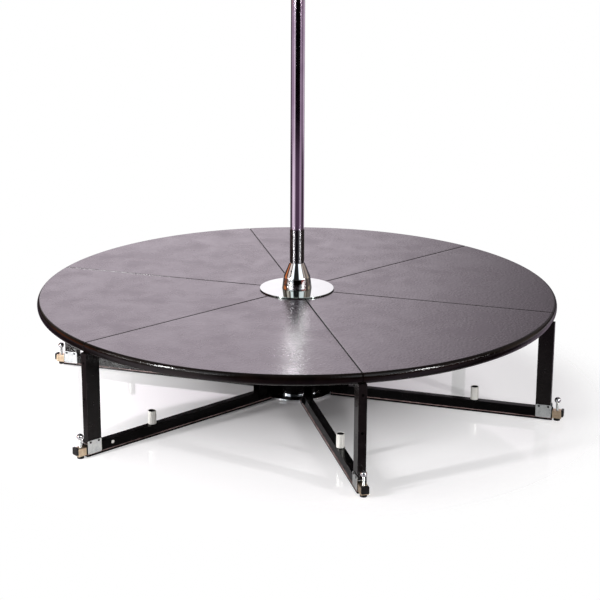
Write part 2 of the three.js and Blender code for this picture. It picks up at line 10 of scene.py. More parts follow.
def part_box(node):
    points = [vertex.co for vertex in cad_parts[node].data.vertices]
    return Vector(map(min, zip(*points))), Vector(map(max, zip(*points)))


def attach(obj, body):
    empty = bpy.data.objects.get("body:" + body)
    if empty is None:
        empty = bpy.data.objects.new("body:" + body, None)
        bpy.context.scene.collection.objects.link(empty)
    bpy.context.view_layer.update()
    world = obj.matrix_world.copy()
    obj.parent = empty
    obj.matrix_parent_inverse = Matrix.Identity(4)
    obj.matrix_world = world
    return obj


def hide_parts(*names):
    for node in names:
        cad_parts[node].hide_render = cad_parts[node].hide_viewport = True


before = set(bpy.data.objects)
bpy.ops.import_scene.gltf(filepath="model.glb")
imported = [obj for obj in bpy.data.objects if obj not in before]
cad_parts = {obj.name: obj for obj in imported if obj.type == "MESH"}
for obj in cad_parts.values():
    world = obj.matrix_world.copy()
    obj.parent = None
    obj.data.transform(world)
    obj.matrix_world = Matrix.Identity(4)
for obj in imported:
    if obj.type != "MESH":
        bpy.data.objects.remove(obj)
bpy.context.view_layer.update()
scene = bpy.context.scene
scene.view_settings.view_transform = "Standard"
print("frame loaded:", len(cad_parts), "CAD nodes")

legCount = 6
firstLeg = -90  # degrees; the legs follow every 60 degrees, anticlockwise from above


def spun(degrees, axis="Z"):
    return Matrix.Rotation(math.radians(degrees), 4, axis)


# camera

cameraSet = {
    "place": (-1.0121, -4.5529, 1.7271),
    "heading": -12.1667,  # degrees anticlockwise from +Y
    "down": 14.0324,
    "roll": 0.1571,
    "lens": 88.1411,
    "sensor": 36,
    "shift": (0.02, -0.12),
}


def makeCamera(values):
    data = bpy.data.cameras.new("camera")
    data.lens = values["lens"]
    data.sensor_width = values["sensor"]
    data.shift_x, data.shift_y = values["shift"]
    data.clip_end = 60
    camera = bpy.data.objects.new("camera", data)
    scene.collection.objects.link(camera)
    turn = spun(values["heading"]) @ spun(90 - values["down"], "X") @ spun(values["roll"])
    camera.matrix_world = Matrix.Translation(values["place"]) @ turn
    scene.camera = camera


makeCamera(cameraSet)
print("camera placed")


# shader building

def setInputs(node, values):
    for socket, value in values.items():
        node.inputs[socket].default_value = value


def addNode(tree, kind, values=None, **settings):
    node = tree.nodes.new("ShaderNode" + kind)
    for name, value in settings.items():
        setattr(node, name, value)
    setInputs(node, values or {})
    return node


def within(tree, low, high, **settings):
    # how far a value has come from low to high
    return addNode(tree, "MapRange", {"From Min": low, "From Max": high}, **settings)


def join(source, output, target, socket):
    source.id_data.links.new(source.outputs[output], target.inputs[socket])


def newGroup(name, inputs, outputs):
    # inputs are (name, kind, default) rows, and outputs (name, kind) rows
    tree = bpy.data.node_groups.new(name, "ShaderNodeTree")
    for socketName, kind, default in inputs:
        socket = tree.interface.new_socket(socketName, in_out="INPUT", socket_type="NodeSocket" + kind)
        if default is not None:
            socket.default_value = default
    for socketName, kind in outputs:
        tree.interface.new_socket(socketName, in_out="OUTPUT", socket_type="NodeSocket" + kind)
    return tree, tree.nodes.new("NodeGroupInput"), tree.nodes.new("NodeGroupOutput")


def makeGrain():
    # fine bumps of a coating: rounded pebbles with a softer noise between them
    tree, given, out = newGroup(
        "coatingGrain", [("Vector", "Vector", None), ("Scale", "Float", 500), ("Pebbles", "Float", 0.5)],
        [("Height", "Float"), ("Mask", "Float")],
    )
    noise = addNode(tree, "TexNoise", {"Detail": 3, "Roughness": 0.55})
    cells = addNode(tree, "TexVoronoi", feature="SMOOTH_F1")
    mixed = addNode(tree, "Mix", data_type="FLOAT")
    spots = within(tree, 0.45, 0.75)
    for texture in (noise, cells):
        join(given, "Vector", texture, "Vector")
        join(given, "Scale", texture, "Scale")
    join(given, "Pebbles", mixed, 0)
    join(noise, "Fac", mixed, 2)
    join(cells, "Distance", mixed, 3)
    join(noise, "Fac", spots, "Value")
    join(mixed, 0, out, "Height")
    join(spots, "Result", out, "Mask")
    return tree


def makeMottle():
    # slow changes of tone over a surface
    tree, given, out = newGroup(
        "toneMottle",
        [("Vector", "Vector", None), ("Scale", "Float", 8),
         ("Dark", "Color", (0, 0, 0, 1)), ("Light", "Color", (1, 1, 1, 1))],
        [("Color", "Color"), ("Mask", "Float")],
    )
    noise = addNode(tree, "TexNoise", {"Detail": 4, "Roughness": 0.6, "Distortion": 0.4})
    spread = within(tree, 0.32, 0.68)
    mixed = addNode(tree, "Mix", data_type="RGBA")
    join(given, "Vector", noise, "Vector")
    join(given, "Scale", noise, "Scale")
    join(noise, "Fac", spread, "Value")
    join(spread, "Result", mixed, 0)
    join(given, "Dark", mixed, 6)
    join(given, "Light", mixed, 7)
    join(mixed, 2, out, "Color")
    join(spread, "Result", out, "Mask")
    return tree


def makeScratches():
    # hairlines drawn out along one direction: Stretch squeezes the coordinates on each axis
    tree, given, out = newGroup(
        "hairlineScratches",
        [("Vector", "Vector", None), ("Stretch", "Vector", (60, 60, 900)), ("Amount", "Float", 0.3)],
        [("Height", "Float"), ("Mask", "Float")],
    )
    squeezed = addNode(tree, "VectorMath", operation="MULTIPLY")
    noise = addNode(tree, "TexNoise", {"Scale": 1, "Detail": 2, "Roughness": 0.7})
    lines = within(tree, 0.58, 0.72)
    faded = addNode(tree, "Math", operation="MULTIPLY")
    join(given, "Vector", squeezed, 0)
    join(given, "Stretch", squeezed, 1)
    join(squeezed, "Vector", noise, "Vector")
    join(noise, "Fac", lines, "Value")
    join(lines, "Result", faded, 0)
    join(given, "Amount", faded, 1)
    join(noise, "Fac", out, "Height")
    join(faded, "Value", out, "Mask")
    return tree


def makeDust():
    # dust that settles on faces that look up
    tree, given, out = newGroup(
        "settledDust", [("Vector", "Vector", None), ("Scale", "Float", 40), ("Amount", "Float", 0.3)],
        [("Mask", "Float")],
    )
    geometry = addNode(tree, "NewGeometry")
    parts = addNode(tree, "SeparateXYZ")
    upward = within(tree, 0.5, 1)
    noise = addNode(tree, "TexNoise", {"Detail": 5, "Roughness": 0.65})
    patches = within(tree, 0.4, 0.75)
    both = addNode(tree, "Math", operation="MULTIPLY")
    faded = addNode(tree, "Math", operation="MULTIPLY")
    join(geometry, "Normal", parts, 0)
    join(parts, "Z", upward, "Value")
    join(given, "Vector", noise, "Vector")
    join(given, "Scale", noise, "Scale")
    join(noise, "Fac", patches, "Value")
    join(upward, "Result", both, 0)
    join(patches, "Result", both, 1)
    join(both, "Value", faded, 0)
    join(given, "Amount", faded, 1)
    join(faded, "Value", out, "Mask")
    return tree


coatingGrain = makeGrain()
toneMottle = makeMottle()
hairlineScratches = makeScratches()
settledDust = makeDust()


def useGroup(place, group, values):
    # place is the Texture Coordinate node that the group reads
    node = addNode(place.id_data, "Group", node_tree=group)
    setInputs(node, values)
    join(place, "Object", node, "Vector")
    return node


def finish(name, values):
    # one coated or plated finish; colours are linear and lengths in metres
    material = bpy.data.materials.new(name)
    material.use_nodes = True
    tree = material.node_tree
    links = tree.links
    shader = tree.nodes["Principled BSDF"]
    setInputs(shader, {"Metallic": values.get("metallic", 0), "IOR": values.get("ior", 1.5)})
    if "tint" in values:
        setInputs(shader, {"Specular Tint": (*values["tint"], 1)})
    place = addNode(tree, "TexCoord")
    dark, light = (*values["dark"], 1), (*values["light"], 1)
    mottle = useGroup(place, toneMottle, {"Scale": values["mottleScale"], "Dark": dark, "Light": light})
    scratches = useGroup(place, hairlineScratches, {
        "Stretch": values.get("stretch", (60, 60, 900)), "Amount": values.get("scratches", 0.2),
    })
    dust = useGroup(place, settledDust, {"Scale": values.get("dustScale", 40), "Amount": values.get("dust", 0.1)})
    grain = useGroup(place, coatingGrain, {"Scale": values["grainScale"], "Pebbles": values.get("pebbles", 0.3)})

    # colour: mottled, specked by the grain, lighter in the scratches, grey where dust lies
    specks = addNode(tree, "Math", {1: values.get("specks", 0.1)}, operation="MULTIPLY")
    join(grain, "Mask", specks, 0)
    color = mottle.outputs["Color"]
    for share, over in (
        (specks.outputs["Value"], values.get("speckColor", values["light"])),
        (scratches.outputs["Mask"], values.get("scratchColor", values["light"])),
        (dust.outputs["Mask"], values.get("dustColor", (0.32, 0.30, 0.29))),
    ):
        mixed = addNode(tree, "Mix", {7: (*over, 1)}, data_type="RGBA")
        links.new(share, mixed.inputs[0])
        links.new(color, mixed.inputs[6])
        color = mixed.outputs[2]
    links.new(color, shader.inputs["Base Color"])

    # roughness: between smooth and rough with the mottle, more under scratches and dust
    smooth, rough = values["roughness"]
    base = addNode(tree, "MapRange", {"To Min": smooth, "To Max": rough})
    join(mottle, "Mask", base, "Value")
    marks = addNode(tree, "Math", operation="ADD")
    join(scratches, "Mask", marks, 0)
    join(dust, "Mask", marks, 1)
    raised = addNode(
        tree, "Math", {1: values.get("markRoughness", 0.3)}, operation="MULTIPLY_ADD", use_clamp=True
    )
    join(marks, "Value", raised, 0)
    join(base, "Result", raised, 2)
    join(raised, "Value", shader, "Roughness")

    # relief
    fine = addNode(tree, "Bump", {
        "Strength": values.get("grainStrength", 0.2), "Distance": values["grainHeight"],
    })
    join(grain, "Height", fine, "Height")
    lines = addNode(tree, "Bump", {"Strength": values.get("lineStrength", 0.05), "Distance": scratchDepth})
    join(scratches, "Height", lines, "Height")
    join(fine, "Normal", lines, "Normal")
    join(lines, "Normal", shader, "Normal")
    return material


scratchDepth = 0.00002
paint = {
    "mottleScale": 22, "roughness": (0.10, 0.20), "grainScale": 520, "grainStrength": 0.12, "grainHeight": 0.0003,
    "scratches": 0.10, "stretch": (25, 900, 900), "scratchColor": (0.02, 0.017, 0.017), "dust": 0.015,
}
chrome = {
    "metallic": 1, "grainScale": 300, "grainStrength": 0.02, "grainHeight": 0.0001, "dust": 0.03,
    "markRoughness": 0.12,
}
plating = {"metallic": 1, "grainStrength": 0.12, "grainHeight": 0.0001, "dust": 0.05}
finishValues = {
    "deckFilm": {
        "dark": (0.009, 0.006, 0.0082), "light": (0.026, 0.0172, 0.024), "mottleScale": 7, "ior": 1.53,
        "tint": (1.0, 0.88, 0.98),
        "roughness": (0.20, 0.28), "grainScale": 130, "grainStrength": 0.45, "grainHeight": 0.0012, "pebbles": 0.5,
        "scratches": 0.05, "stretch": (30, 700, 30), "dust": 0.12, "dustScale": 14, "dustColor": (0.12, 0.10, 0.12),
        "markRoughness": 0.5, "specks": 0.9, "speckColor": (0.006, 0.004, 0.005),
    },
    "deckEdge": {
        "dark": (0.0015, 0.0010, 0.0009), "light": (0.0060, 0.0032, 0.0024), "mottleScale": 14, "ior": 1.36,
        "roughness": (0.05, 0.09), "grainScale": 200, "grainStrength": 0.5, "grainHeight": 0.0010,
        "scratches": 0.10, "stretch": (40, 40, 900), "scratchColor": (0.03, 0.022, 0.02), "dust": 0.02,
    },
    "deckBack": {
        "dark": (0.010, 0.008, 0.008), "light": (0.020, 0.016, 0.016), "mottleScale": 9,
        "roughness": (0.42, 0.55), "grainScale": 300, "grainStrength": 0.3, "grainHeight": 0.0004,
        "scratches": 0.15, "stretch": (20, 500, 20),
    },
    "blackPaint": {
        **paint, "dark": (0.0008, 0.0006, 0.0007), "light": (0.0026, 0.0020, 0.0022), "ior": 1.16,
    },
    # the beams' black paint made lighter for the uprights: painted light, so that the lamps lift their faces to grey
    "uprightPaintWithPaintedLight": {
        **paint, "dark": (0.0050, 0.0036, 0.0036), "light": (0.0095, 0.0070, 0.0068), "ior": 1.30,
    },
    # a lighter paint for the lip's upward faces: a painted highlight that stands for light caught along the lip
    "lipHighlightPaint": {
        **paint, "dark": (0.12, 0.080, 0.076), "light": (0.42, 0.30, 0.29), "ior": 1.24,
    },
    "postZinc": {
        "dark": (0.84, 0.82, 0.77), "light": (0.96, 0.95, 0.90), "mottleScale": 30, "metallic": 0.3,
        "roughness": (0.26, 0.38), "grainScale": 400, "grainStrength": 0.06, "grainHeight": 0.0002,
        "scratches": 0.25, "stretch": (60, 60, 900), "dust": 0.05,
    },
    "brightZinc": {
        **plating, "dark": (0.66, 0.69, 0.69), "light": (0.90, 0.92, 0.90), "mottleScale": 110,
        "roughness": (0.26, 0.40), "grainScale": 800, "scratches": 0.35, "stretch": (80, 80, 1600),
    },
    "yellowZinc": {
        **plating, "dark": (0.60, 0.44, 0.29), "light": (0.80, 0.65, 0.47), "mottleScale": 90,
        "roughness": (0.28, 0.42), "grainScale": 900, "scratches": 0.30, "stretch": (90, 1500, 90),
    },
    "mirrorChrome": {
        **chrome, "dark": (0.80, 0.81, 0.84), "light": (0.90, 0.90, 0.92), "mottleScale": 18,
        "roughness": (0.03, 0.07), "scratches": 0.15, "stretch": (60, 60, 1400),
    },
    "poleChrome": {
        **chrome, "dark": (0.56, 0.47, 0.57), "light": (0.68, 0.60, 0.69), "mottleScale": 12,
        "roughness": (0.05, 0.09), "scratches": 0.35, "stretch": (30, 30, 1800), "lineStrength": 0.15,
        "markRoughness": 0.15,
    },
    "discSteel": {
        **chrome, "dark": (0.375, 0.425, 0.395), "light": (0.40, 0.455, 0.42), "mottleScale": 14,
        "roughness": (0.03, 0.06), "scratches": 0.10, "stretch": (60, 1400, 60),
    },
    # a dimmed mirror: its dark base colour stands for the chrome pole's reflection of the dark deck, a painted
    # reflection
    "sleeveWithPaintedReflection": {
        "dark": (0.19, 0.183, 0.19), "light": (0.24, 0.235, 0.24), "mottleScale": 30, "metallic": 1,
        "roughness": (0.04, 0.08), "grainScale": 400, "grainStrength": 0.03, "grainHeight": 0.0001,
        "scratches": 0.15, "stretch": (40, 40, 1800), "dust": 0.01, "markRoughness": 0.08,
    },
    "plainSteel": {
        **plating, "dark": (0.30, 0.30, 0.32), "light": (0.48, 0.48, 0.50), "mottleScale": 60,
        "roughness": (0.25, 0.38), "grainScale": 700, "grainStrength": 0.1,
        "scratches": 0.3, "stretch": (80, 80, 1600),
    },
    "blackOxide": {
        "dark": (0.010, 0.009, 0.010), "light": (0.035, 0.032, 0.035), "mottleScale": 120, "metallic": 0.6,
        "roughness": (0.30, 0.45), "grainScale": 900, "grainStrength": 0.1, "grainHeight": 0.0001, "dust": 0.05,
    },
    "capMoulding": {
        "dark": (0.0020, 0.0018, 0.0020), "light": (0.0060, 0.0050, 0.0052), "mottleScale": 60, "ior": 1.38,
        "roughness": (0.30, 0.42), "grainScale": 900, "grainStrength": 0.25, "grainHeight": 0.0002, "pebbles": 0.7,
        "scratches": 0.1, "scratchColor": (0.03, 0.026, 0.026), "dust": 0.04,
    },
}
finishes = {name: finish(name, values) for name, values in finishValues.items()}
print("finishes made:", len(finishes))


# shapes
# A shape is a bmesh in metres. Leg pieces are drawn with X out along the leg, Y across it and Z up.

def named(values):
    # a piece's dictionary as size.name
    return SimpleNamespace(**values)


def boxShape(x, y, z):
    shape = bmesh.new()
    size = Vector((x[1] - x[0], y[1] - y[0], z[1] - z[0]))
    middle = Vector((x[0] + x[1], y[0] + y[1], z[0] + z[1])) / 2
    bmesh.ops.create_cube(shape, size=1, matrix=Matrix.Translation(middle) @ Matrix.Diagonal(size).to_4x4())
    return shape


def roundCorners(points, radius, steps=4, closed=False):
    # swaps each corner of a path for a short arc, where its neighbours leave room
    count = len(points)
    made = []
    for index, point in enumerate(points):
        here = Vector(point)
        if not closed and index in (0, count - 1):
            made.append(tuple(here))
            continue
        before = Vector(points[index - 1]) - here
        after = Vector(points[(index + 1) % count]) - here
        angle = before.angle(after)
        if angle > math.radians(170):
            made.append(tuple(here))
            continue
        reach = min(radius / math.tan(angle / 2), before.length * 0.45, after.length * 0.45)
        bend = reach * math.tan(angle / 2)
        middle = here + (before.normalized() + after.normalized()).normalized() * (bend / math.sin(angle / 2))
        start = here + before.normalized() * reach - middle
        end = here + after.normalized() * reach - middle
        for step in range(steps + 1):
            made.append(tuple(middle + bend * start.slerp(end, step / steps, start)))
    return made


def turnedShape(profile, sides=96, closed=False):
    # turns (radius, height) points round Z; the points run up the outside
    shape = bmesh.new()
    rings = []
    for radius, height in profile:
        if radius < 1e-7:
            rings.append([shape.verts.new((0, 0, height))])
            continue
        rings.append([
            shape.verts.new((radius * math.cos(a), radius * math.sin(a), height))
            for a in (2 * math.pi * side / sides for side in range(sides))
        ])
    for lower, upper in zip(rings, rings[1:] + (rings[:1] if closed else [])):
        for side in range(sides):
            nextSide = (side + 1) % sides
            corners = [ring[index % len(ring)] for ring, index in (
                (lower, side), (lower, nextSide), (upper, nextSide), (upper, side),
            )]
            corners = list(dict.fromkeys(corners))  # a ring on the axis is one point
            if len(corners) > 2:
                shape.faces.new(corners)
    bmesh.ops.recalc_face_normals(shape, faces=shape.faces)
    return shape


def drawnShape(outline, depth):
    # a flat outline in X and Y, drawn out along Z from 0 to depth
    shape = bmesh.new()
    face = shape.faces.new([shape.verts.new((x, y, 0)) for x, y in outline])
    grown = bmesh.ops.extrude_face_region(shape, geom=[face])
    bmesh.ops.translate(
        shape, vec=(0, 0, depth), verts=[v for v in grown["geom"] if isinstance(v, bmesh.types.BMVert)]
    )
    bmesh.ops.recalc_face_normals(shape, faces=shape.faces)
    return shape


def roundedTurn(points, edge, steps, sides, closed=False):
    return turnedShape(roundCorners(points, edge, steps, closed), sides, closed)


def placed(shape, matrix):
    shape.transform(matrix)
    return shape


def shift(x, y, z):
    return Matrix.Translation((x, y, z))


def facing(side):
    # from up to the leg's left for side 1, to its right for side -1
    return Matrix.Rotation(-side * math.pi / 2, 4, "X")


def basis(x, y, z, origin=(0, 0, 0)):
    return Matrix.Translation(origin) @ Matrix((x, y, z)).transposed().to_4x4()


alongOut = basis((0, 1, 0), (0, 0, 1), (1, 0, 0))  # an outline in (across, up), drawn out along the leg
alongAcross = basis((1, 0, 0), (0, 0, 1), (0, -1, 0))  # an outline in (out, up), drawn to the leg's right
overlap = 0.001  # how far a shape goes into the one that it joins
overshoot = 0.01  # how far a cutter stands out past what it cuts


def barShape(radius, length, sides=32):
    return turnedShape([(0, 0), (radius, 0), (radius, length), (0, length)], sides)


def outOf(shape):
    mesh = bpy.data.meshes.new("shape")
    shape.to_mesh(mesh)
    shape.free()
    return mesh


def carved(shape, cutters):
    # cuts away each cutter with Boolean modifiers and gives back the result as a shape
    host = bpy.data.objects.new("host", outOf(shape))
    scene.collection.objects.link(host)
    helpers = [host]
    for cutter in cutters:
        helper = bpy.data.objects.new("cutter", outOf(cutter))
        scene.collection.objects.link(helper)
        helpers.append(helper)
        modifier = host.modifiers.new("cut", "BOOLEAN")
        modifier.operation = "DIFFERENCE"
        modifier.solver = "EXACT"
        modifier.object = helper
    bpy.context.view_layer.update()
    result = host.evaluated_get(bpy.context.evaluated_depsgraph_get())
    left = bmesh.new()
    left.from_mesh(result.to_mesh())
    for helper in helpers:
        mesh = helper.data
        bpy.data.objects.remove(helper)
        bpy.data.meshes.remove(mesh)
    return left


def sharpEdges(shape, limit):
    # edges between two faces that meet at more than limit degrees
    return [edge for edge in shape.edges if edge.is_manifold and edge.calc_face_angle() > math.radians(limit)]


def roundEdges(shape, edges, width, segments=2, material=-1):
    bmesh.ops.bevel(
        shape, geom=edges, offset=width, offset_type="OFFSET", segments=segments, profile=0.5,
        affect="EDGES", clamp_overlap=True, material=material,
    )


def softened(shape, width, segments=2):
    bmesh.ops.remove_doubles(shape, verts=shape.verts, dist=1e-6)
    bmesh.ops.dissolve_limit(
        shape, angle_limit=math.radians(1), verts=shape.verts, edges=shape.edges, use_dissolve_boundaries=False
    )
    roundEdges(shape, sharpEdges(shape, 40), width, segments)
    return shape


def joinedMesh(name, parts, materials):
    # parts are (shape, index of its material) pairs
    whole = bmesh.new()
    for shape, index in parts:  # an index of None keeps what the faces say
        for face in shape.faces if index is not None else ():
            face.material_index = index
        mesh = outOf(shape)
        whole.from_mesh(mesh)
        bpy.data.meshes.remove(mesh)
    mesh = bpy.data.meshes.new(name)
    whole.to_mesh(mesh)
    whole.free()
    for material in materials:
        mesh.materials.append(finishes[material])
    mesh.shade_smooth()
    mesh.set_sharp_from_angle(angle=math.radians(40))
    return mesh


def addPiece(name, mesh, body, node, turn=0):
    # a piece that stands for one CAD node
    piece = bpy.data.objects.new(name, mesh)
    scene.collection.objects.link(piece)
    piece.matrix_world = spun(turn)
    modifier = piece.modifiers.new("evenNormals", "WEIGHTED_NORMAL")
    modifier.keep_sharp = True
    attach(piece, body)
    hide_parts(node)


def addOne(name, shape, material, body, node):
    # a piece of one shape and one finish
    addPiece(name, joinedMesh(name, [(shape, 0)], [material]), body, node)


def legAngle(leg):
    return firstLeg + leg * 360 / legCount


# deck panels

deckPanel = {
    "radius": 0.848,
    "top": 0.355,
    "thickness": 0.032,
    "edgeDepth": 0.010,  # how far the rounded rim stands out past the flat top
    "edgeSteps": 20,
    "edgeFlatness": 0.9,
    "tip": 0.0435,
    "seam": 0.002,
    "seamEdge": 0.0022,  # rounding of the top edge along the seams
    "turns": 40,  # steps round the panel
    "rings": (0.12, 0.25, 0.4, 0.55, 0.7, 0.8),
}


def panelShape(size):
    flat = size.radius - size.edgeDepth
    bottom = size.top - size.thickness
    middle = (size.top + bottom) / 2
    outer = []  # the rim from below to above
    for step in range(size.edgeSteps + 1):
        angle = math.pi * (step / size.edgeSteps - 0.5)
        across, up = math.cos(angle), math.sin(angle)
        outer.append((flat + size.edgeDepth * max(across, 0) ** size.edgeFlatness, middle + size.thickness / 2 * up))
    radii = (size.tip, *size.rings)
    under = [(radius, bottom) for radius in radii]
    over = [(radius, size.top) for radius in reversed(radii)]
    shape = bmesh.new()
    rows, steps = [], size.turns
    for radius, height in under + outer + over:
        half = math.pi / legCount - math.asin(size.seam / 2 / radius)
        inner = half - max(2 * half / steps, size.seamEdge * 1.3 / radius)  # leaves room for the bevel
        turns = [-half] + [inner * (2 * step / (steps - 2) - 1) for step in range(steps - 1)] + [half]
        rows.append([shape.verts.new((radius * math.cos(a), radius * math.sin(a), height)) for a in turns])
    firstOver = len(under) + len(outer) - 1
    for index, (lower, upper) in enumerate(zip(rows, rows[1:] + rows[:1])):
        for step in range(steps):
            face = shape.faces.new((lower[step], lower[step + 1], upper[step + 1], upper[step]))
            back = index < len(under) or index == len(rows) - 1
            face.material_index = 2 if back else 1 if index < firstOver else 0
    for end in (0, -1):
        shape.faces.new([row[end] for row in rows]).material_index = 1
    bmesh.ops.recalc_face_normals(shape, faces=shape.faces)
    roundEdges(shape, sharpEdges(shape, 60), size.seamEdge, material=1)
    return shape


for leg in range(legCount):
    # turned in its mesh, so that its box fits the CAD box
    turned = placed(panelShape(named(deckPanel)), spun(legAngle(leg + 0.5)))
    mesh = joinedMesh(f"deckPanel_{leg + 1}", [(turned, None)], ["deckFilm", "deckEdge", "deckBack"])
    addPiece(f"deckPanel_{leg + 1}", mesh, "stage", f"deck_panel_{leg + 1}")
print("deck panels made")


# legs

floorBeam = {
    "start": 0.124, "end": 0.8565, "width": 0.025, "bottom": 0.002, "top": 0.0385,
    "wall": 0.002, "floor": 0.003, "lip": 0.0025, "lipHeight": 0.007,
    "bolts": ((0.139, 0.021, 0.0043), (0.164, 0.021, 0.0043)),  # place, height, radius
    "edge": 0.0009,
    "rivet": (0.762, 0.0262), "rivetRadius": 0.0055, "rivetProud": 0.0012,
    "sunk": 0.001,  # how far the rivet goes into the wall
}
beamPost = {
    "place": 0.604, "radius": 0.01275, "wall": 0.002, "top": 0.0825, "edge": 0.0008,
    "weldRadius": 0.0017, "waves": 22, "waveHeight": 0.012, "unevenness": 0.003,
}


def beamShape(size):
    side, lip = size.width / 2, size.width / 2 + size.lip
    bottom, lipTop, top = size.bottom, size.bottom + size.lipHeight, size.top
    outline = [
        (-lip, bottom), (lip, bottom), (lip, lipTop), (side, lipTop),
        (side, top), (-side, top), (-side, lipTop), (-lip, lipTop),
    ]
    length = size.end - size.start
    beam = placed(drawnShape(outline, length), shift(size.start, 0, 0) @ alongOut)
    inner = side - size.wall
    hollow = boxShape(
        (size.start - overshoot, size.end + overshoot), (-inner, inner),
        (bottom + size.floor, top - size.wall),
    )
    cutters = [hollow]
    for place, height, radius in size.bolts:
        cutters.append(placed(barShape(radius, 2 * size.width), shift(place, size.width, height) @ alongAcross))
    shape = softened(carved(beam, cutters), size.edge)
    for face in shape.faces:  # the lip's upward faces get the lighter lip paint: a painted highlight
        lipHighlight = face.normal.z > 0.3 and face.calc_center_median().z < lipTop + size.edge
        face.material_index = 2 if lipHighlight else 0
    return shape


def beamRivetShape(size):
    # flat round head in the beam's left side
    radius, proud = size.rivetRadius, size.rivetProud
    profile = roundCorners(
        [(radius, -size.sunk), (radius, proud * 0.5), (radius * 0.8, proud), (0, proud)], proud * 0.4, 4,
    )
    place, level = size.rivet
    head = turnedShape([(0, -size.sunk)] + profile, 40)
    return placed(head, shift(place, size.width / 2, level) @ facing(1))


def postShapes(size, beamTop):
    outer, inner = size.radius, size.radius - size.wall
    floor = beamTop + size.wall
    rim = roundCorners(
        [(outer, beamTop - overlap), (outer, size.top), (inner, size.top), (inner, floor), (0, floor)],
        size.edge, 3,
    )
    post = turnedShape([(0, beamTop - overlap)] + rim, 48)
    for face in post.faces:  # the bore gets dark oxide, which also stands for the shade inside the tube: partly painted shade
        bore = face.calc_center_median().xy.length < inner and face.calc_center_median().z > beamTop
        face.material_index = 3 if bore else 1
    weldRadius = size.weldRadius
    bead = [
        (outer + weldRadius * math.cos(a), beamTop + weldRadius * math.sin(a))
        for a in (2 * math.pi * step / 10 for step in range(10))
    ]
    weld = turnedShape(bead, 72, closed=True)
    ripple = random.Random(4)
    for vert in weld.verts:  # the bead's small waves
        around = math.atan2(vert.co.y, vert.co.x)
        swell = 1 + size.waveHeight * math.sin(around * size.waves)
        swell += ripple.uniform(-size.unevenness, size.unevenness)
        vert.co.x *= swell
        vert.co.y *= swell
    return [placed(shape, shift(size.place, 0, 0)) for shape in (post, weld)]


uprightSet = {
    "inner": 0.8025, "outer": 0.8505, "width": 0.025, "bottom": 0.0411, "top": 0.3227, "wall": 0.002,
    "corner": 0.0015, "holes": (0.292, 0.179), "holeRadius": 0.004,
    "rivets": ((0.8265, 0.252), (0.8275, 0.169), (0.8275, 0.161)),  # place and height, on both wide faces
    "rivetRadius": 0.002, "rivetHeight": 0.0006, "rivetSunk": 0.0004,
}


def uprightShapes(size):
    half = size.width / 2
    plan = roundCorners(
        [(size.inner, -half), (size.outer, -half), (size.outer, half), (size.inner, half)],
        size.corner, 4, closed=True,
    )
    height = size.top - size.bottom
    body = placed(drawnShape(plan, height), shift(0, 0, size.bottom))
    wall = size.wall
    hollow = boxShape(
        (size.inner + wall, size.outer - wall), (-half + wall, half - wall),
        (size.bottom - overshoot, size.top - wall),
    )
    cutters = [hollow]
    for level in size.holes:
        cutters.append(placed(
            barShape(size.holeRadius, overshoot),
            shift(size.outer - overshoot / 2, 0, level) @ alongOut,
        ))
    tube = carved(body, cutters)
    bmesh.ops.remove_doubles(tube, verts=tube.verts, dist=1e-6)
    rivets = []
    for place, level in size.rivets:
        for side in (1, -1):
            dome = turnedShape(
                [(size.rivetRadius, -size.rivetSunk), (size.rivetRadius * 0.92, size.rivetHeight * 0.6),
                 (size.rivetRadius * 0.55, size.rivetHeight), (0, size.rivetHeight)], 20,
            )
            rivets.append(placed(dome, shift(place, side * half, level) @ facing(side)))
    return tube, rivets


saddleBracket = {
    "start": 0.804, "end": 0.8535, "bottom": 0.0093, "top": 0.0508, "inside": 0.0128, "plate": 0.002,
    "webBottom": 0.0388, "corner": 0.004, "screwEdge": 0.010, "screwHeight": 0.0458,
    "headRadius": 0.0036, "headHeight": 0.0014, "edge": 0.0003,
}


def bracketShapes(size):
    cheek = roundCorners(
        [(size.start, size.bottom), (size.end, size.bottom),
         (size.end, size.top), (size.start, size.top)],
        size.corner, 5, closed=True,
    )
    plate, inside = size.plate, size.inside
    shapes, screws = [], []
    places = (size.start + size.screwEdge, size.end - size.screwEdge)
    for face in (inside + plate, -inside):
        flat = placed(drawnShape(cheek, plate), shift(0, face, 0) @ alongAcross)
        shapes.append(softened(flat, size.edge))
    web = boxShape((size.start, size.end), (-inside, inside), (size.webBottom, size.webBottom + plate))
    shapes.append(softened(web, size.edge))
    for place in places:
        for side in (1, -1):
            radius, height = size.headRadius, size.headHeight
            head = roundedTurn(
                [(0, -overlap), (radius, -overlap), (radius, height * 0.5), (radius * 0.72, height),
                 (radius * 0.30, height), (radius * 0.26, height * 0.35), (0, height * 0.35)],
                size.edge, 3, 28,
            )
            screws.append(placed(head, shift(place, side * (inside + plate), size.screwHeight) @ facing(side)))
    return shapes, screws


endBlock = {
    "start": 0.8568, "end": 0.8853, "width": 0.024, "bottom": 0.009, "top": 0.033, "edge": 0.0006,
    "tongue": 0.034, "tongueWidth": 0.0204, "tongueGap": 0.0005,
    "bore": (0.8708, 0.0043),  # place and radius
    "capEnd": 0.8913, "capBottom": 0.014, "capTop": 0.0365, "capWidth": 0.023, "capCorner": 0.0025,
    "capEdge": 0.0010, "capBorder": 0.0045, "capDish": 0.0005, "capSunk": 0.0012,
}


